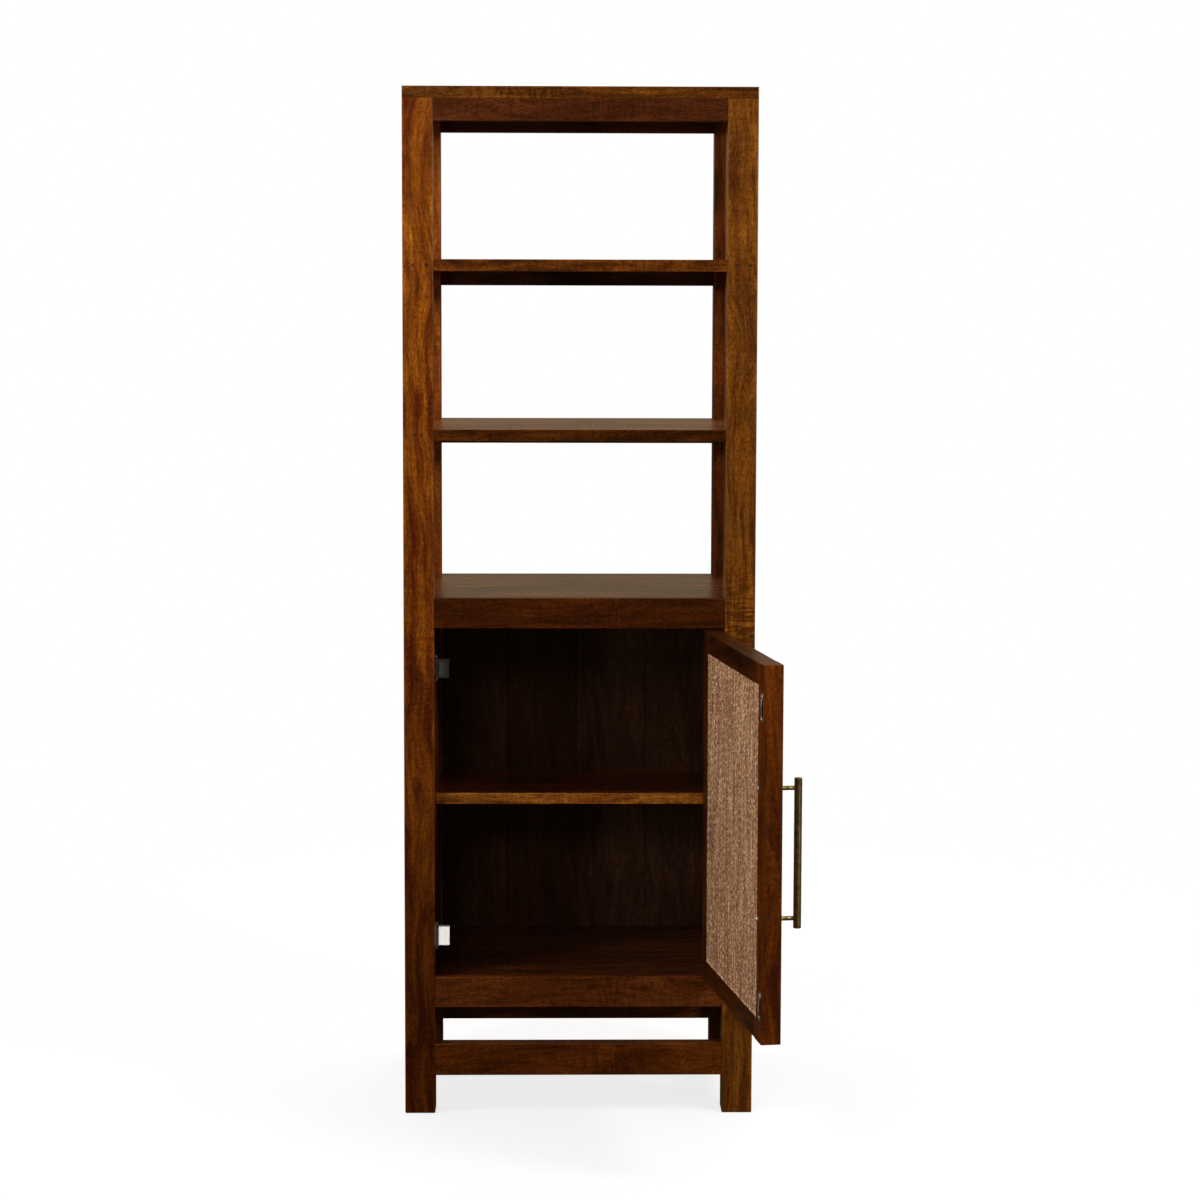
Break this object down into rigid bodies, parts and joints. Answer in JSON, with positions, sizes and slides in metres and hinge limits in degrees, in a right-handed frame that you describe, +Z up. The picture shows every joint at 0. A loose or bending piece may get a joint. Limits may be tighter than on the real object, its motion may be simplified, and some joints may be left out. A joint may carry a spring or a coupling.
{
  "type": "display cabinet",
  "caption": "Tall narrow display cabinet in dark stained wood: open shelves over a cupboard whose framed door holds a woven panel and hangs open on its right side.",
  "frame": {"origin": "on the floor, at the middle of the four feet", "axes": "+Z up, +X to the right of a person who faces the door, +Y from the front to the back"},
  "size_m": [0.6451, 0.947, 1.76],
  "materials": {
    "wood_posts": "stained mango wood, satin lacquer",
    "wood_boards": "stained mango wood, satin lacquer",
    "wood_rails": "stained mango wood, satin lacquer",
    "wood_panels": "stained mango wood, satin lacquer",
    "wood_filler": "dark wood filler over sunk nails",
    "wood_door": "stained mango wood, satin lacquer",
    "woven_fibre": "woven natural fibre, unvarnished",
    "antique_brass": "antique brass, satin",
    "steel": "zinc-plated steel",
    "dark_plastic": "dark brown-grey moulded plastic",
    "white_plastic": "white moulded plastic",
    "magnet": "dark ferrite block"
  },
  "bodies": {
    "carcass": {"post_front_left": "wood_posts", "post_front_right": "wood_posts", "post_back_left": "wood_posts", "post_back_right": "wood_posts", "top_board": "wood_boards", "upper_shelf_board": "wood_boards", "lower_shelf_board": "wood_boards", "deck_board": "wood_boards", "floor_board": "wood_boards", "inner_shelf": "wood_boards", "top_rail_front": "wood_rails", "top_rail_back": "wood_rails", "top_rail_left": "wood_rails", "top_rail_right": "wood_rails", "upper_shelf_rail_back": "wood_rails", "upper_shelf_rail_left": "wood_rails", "upper_shelf_rail_right": "wood_rails", "lower_shelf_rail_back": "wood_rails", "lower_shelf_rail_left": "wood_rails", "lower_shelf_rail_right": "wood_rails", "deck_rail_front": "wood_rails", "deck_rail_back": "wood_rails", "deck_rail_left": "wood_rails", "deck_rail_right": "wood_rails", "floor_rail_front": "wood_rails", "floor_rail_back": "wood_rails", "floor_rail_left": "wood_rails", "floor_rail_right": "wood_rails", "stretcher_front": "wood_rails", "stretcher_back": "wood_rails", "stretcher_left": "wood_rails", "stretcher_right": "wood_rails", "side_panel_left": "wood_panels", "side_panel_right": "wood_panels", "back_boards": "wood_panels", "joint_plugs": "wood_filler", "catch_screws": "steel", "catch_pole_plates": "steel", "hinge_post_leaves": "steel", "hinge_pins": "steel", "hinge_post_screws": "steel", "catch_housing_upper": "dark_plastic", "catch_housing_lower": "white_plastic", "catch_magnets": "magnet"},
    "door": {"door_stile_hinge": "wood_door", "door_stile_free": "wood_door", "door_rail_top": "wood_door", "door_rail_bottom": "wood_door", "panel_core": "wood_door", "woven_mat_front": "woven_fibre", "woven_mat_inner": "woven_fibre", "handle_bar": "antique_brass", "handle_posts": "antique_brass", "handle_bolts": "steel", "strike_plates": "steel", "strike_screws": "steel", "hinge_door_leaves": "steel", "hinge_door_screws": "steel"}
  },
  "joints": [
    {"name": "door_hinge", "type": "hinge", "parent": "carcass", "child": "door", "pos_m": [0.247, -0.229, 0.5425], "axis": [0, 0, 1], "range_deg": [-98, 72]}
  ]
}
